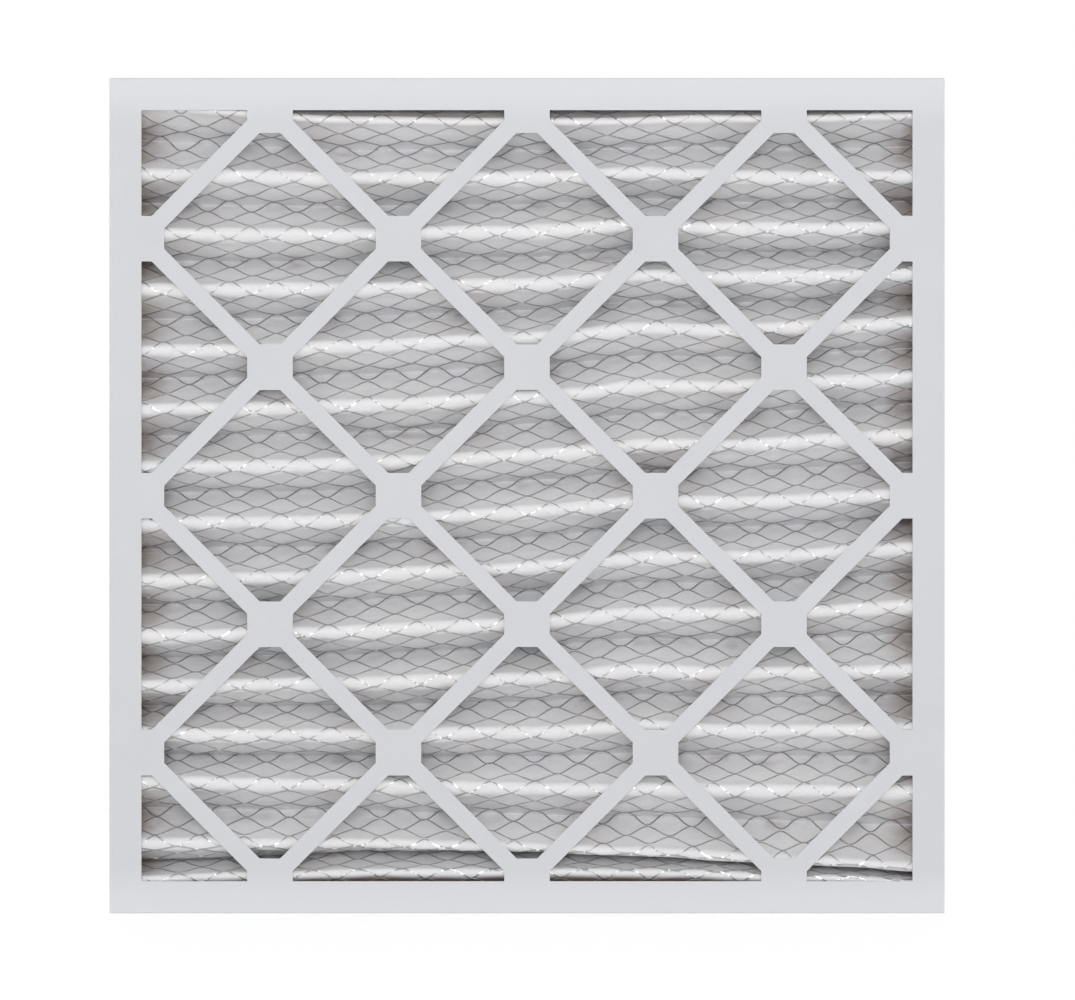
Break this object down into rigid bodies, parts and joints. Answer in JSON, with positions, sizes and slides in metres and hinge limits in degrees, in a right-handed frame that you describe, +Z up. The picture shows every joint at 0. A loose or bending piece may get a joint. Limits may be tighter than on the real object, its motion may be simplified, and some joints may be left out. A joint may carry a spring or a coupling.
{
  "type": "pleated panel air filter",
  "caption": "Square pleated panel air filter: wire-backed folded media in a die-cut board frame with a diamond lattice of struts on both faces.",
  "frame": {"origin": "middle of the bottom edge, where the filter stands on a surface: centre of the bounding box in X and Y, lowest point in Z", "axes": "+X across the face, +Y through the filter from the wire-backed face to the bare face, +Z up, along the height"},
  "size_m": [0.4952, 0.0444, 0.4953],
  "materials": {
    "coated_board": "clay-coated white beverage board, matte, with a brown kraft back and cut edges",
    "filter_media": "white nonwoven fibre mat with a soft fuzzy surface",
    "wire": "galvanised expanded metal, dull grey with bright nicks",
    "adhesive": "dried white glue"
  },
  "bodies": {
    "root": {"front_frame": "coated_board", "rear_frame": "coated_board", "pleated_media": "filter_media", "wire_support": "wire", "left_end_seal": "adhesive", "right_end_seal": "adhesive", "top_tail_seal": "adhesive", "bottom_tail_seal": "adhesive"}
  },
  "joints": []
}
